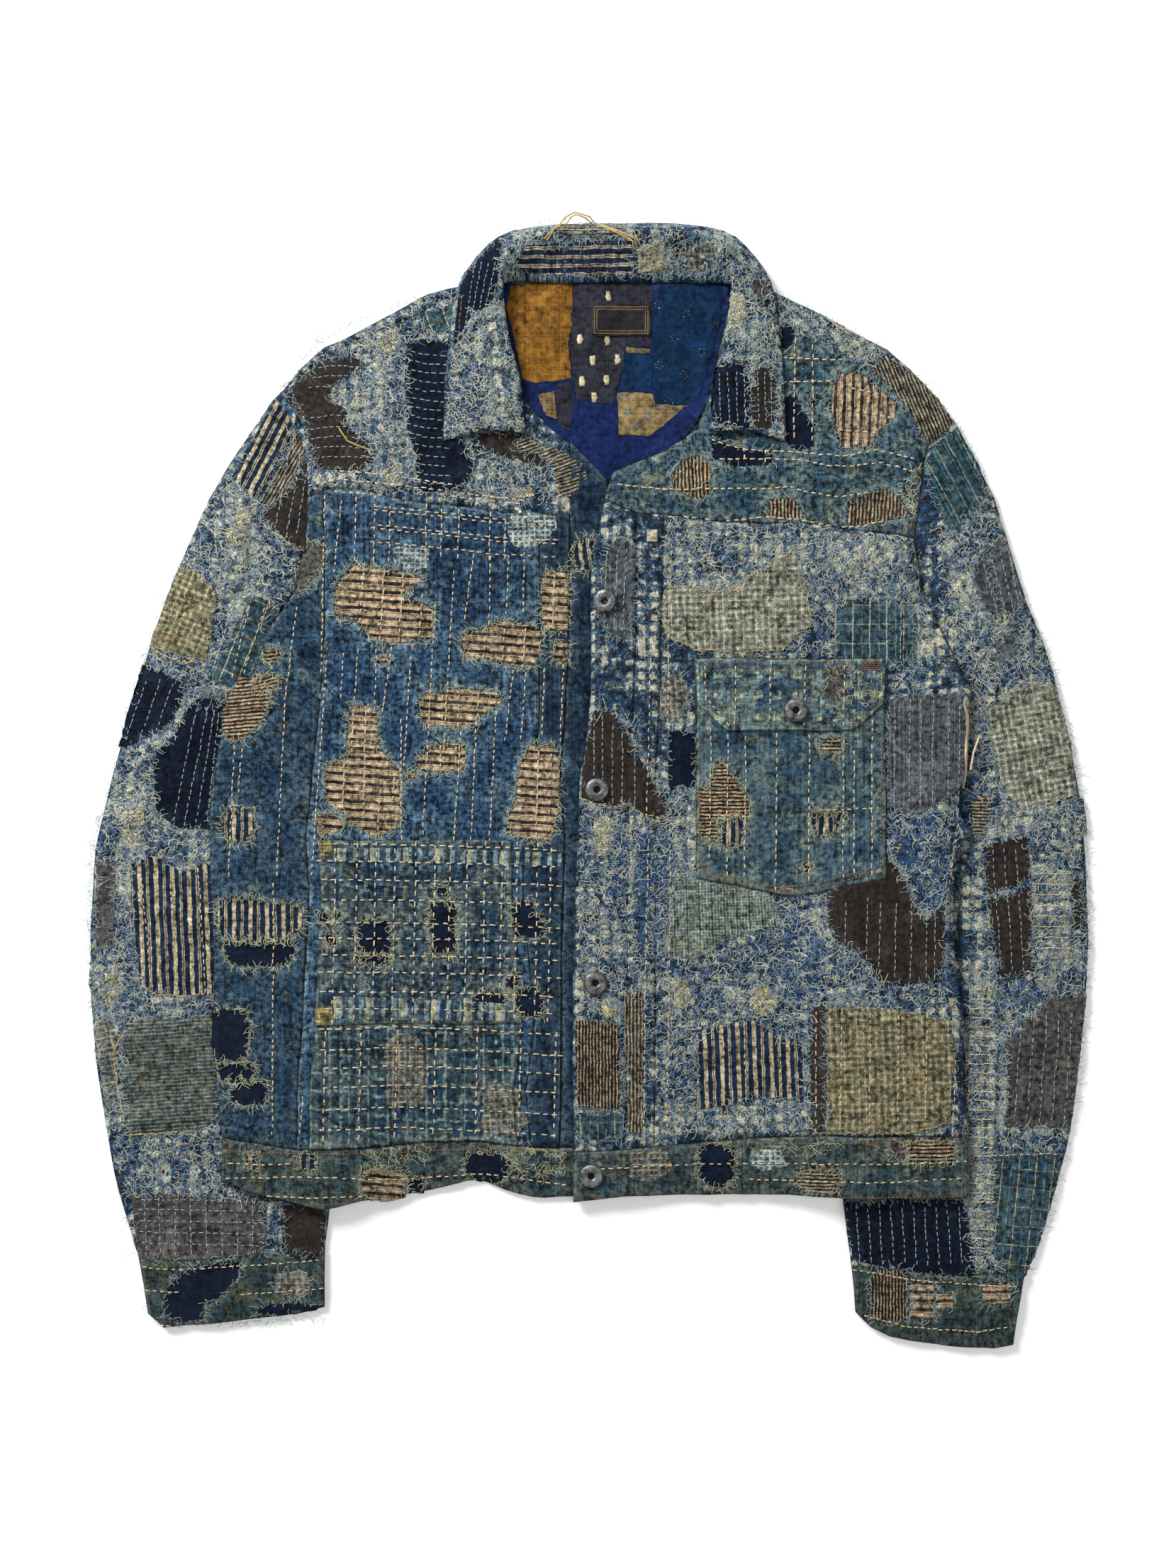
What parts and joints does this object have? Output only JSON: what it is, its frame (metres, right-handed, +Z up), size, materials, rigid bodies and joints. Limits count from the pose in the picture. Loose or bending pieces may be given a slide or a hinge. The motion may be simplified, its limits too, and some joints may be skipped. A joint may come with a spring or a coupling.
{
  "type": "patched boro jacket",
  "caption": "Waist-length patched boro work jacket laid flat, buttoned front, turned-down collar, sleeves folded down beside the body.",
  "frame": {"origin": "middle of the laid-out jacket's length and width, on the surface that its back rests on", "axes": "+Z up out of the surface towards the fronts, +Y from the hem towards the collar, +X towards the wearer's left side"},
  "size_m": [0.7054, 0.7938, 0.0267],
  "materials": {
    "boucle": "blue and cream looped weave, matt",
    "faded_denim": "faded blue twill, matt",
    "mid_denim": "worn mid-blue twill, matt",
    "dark_denim": "dark indigo twill, matt",
    "khaki_check": "khaki checked plain weave, matt",
    "dark_wool": "brown-black felted wool, matt",
    "grey_wool": "grey brushed wool, matt",
    "stripe_cloth": "navy and tan striped twill, matt",
    "teal_check": "teal fine-checked plain weave, matt",
    "lining": "ochre cotton lining, matt",
    "label": "black woven label, slight sheen",
    "aged_zinc": "dull aged zinc grey"
  },
  "bodies": {
    "root": {"back_panel": "boucle", "back_yoke_left": "boucle", "back_yoke_right": "boucle", "collar": "boucle", "front_band_left": "boucle", "front_panel_left": "boucle", "placket_left": "boucle", "top_sleeve_left": "boucle", "top_sleeve_right": "boucle", "under_sleeve_left": "boucle", "under_sleeve_right": "boucle", "yoke_left": "boucle", "yoke_right": "boucle", "back_waistband": "faded_denim", "chest_pocket": "faded_denim", "cuff_left": "faded_denim", "cuff_right": "faded_denim", "pocket_flap": "faded_denim", "quilted_square_patch": "faded_denim", "side_panel_right": "faded_denim", "under_cuff_left": "faded_denim", "under_cuff_right": "faded_denim", "waistband_left": "faded_denim", "waistband_right": "faded_denim", "front_band_right": "mid_denim", "front_panel_right": "mid_denim", "stitched_grid_patch": "mid_denim", "indigo_patch_right_yoke": "dark_denim", "placket_right": "dark_denim", "check_patch_left_chest": "khaki_check", "check_patch_left_hip": "khaki_check", "check_patch_left_sleeve": "khaki_check", "check_patch_right_sleeve": "khaki_check", "dark_wool_patch_left_front": "dark_wool", "dark_wool_patch_left_sleeve": "dark_wool", "wool_patch_right_shoulder": "dark_wool", "grey_patch_left_sleeve": "grey_wool", "grey_patch_right_sleeve": "grey_wool", "striped_patch_left_front": "stripe_cloth", "striped_patch_right_sleeve": "stripe_cloth", "tiny_check_patch_left_front": "teal_check", "neck_lining": "lining", "neck_label": "label", "button_belly": "aged_zinc", "button_chest": "aged_zinc", "button_hip": "aged_zinc", "button_pocket": "aged_zinc", "button_waist": "aged_zinc"}
  },
  "joints": []
}
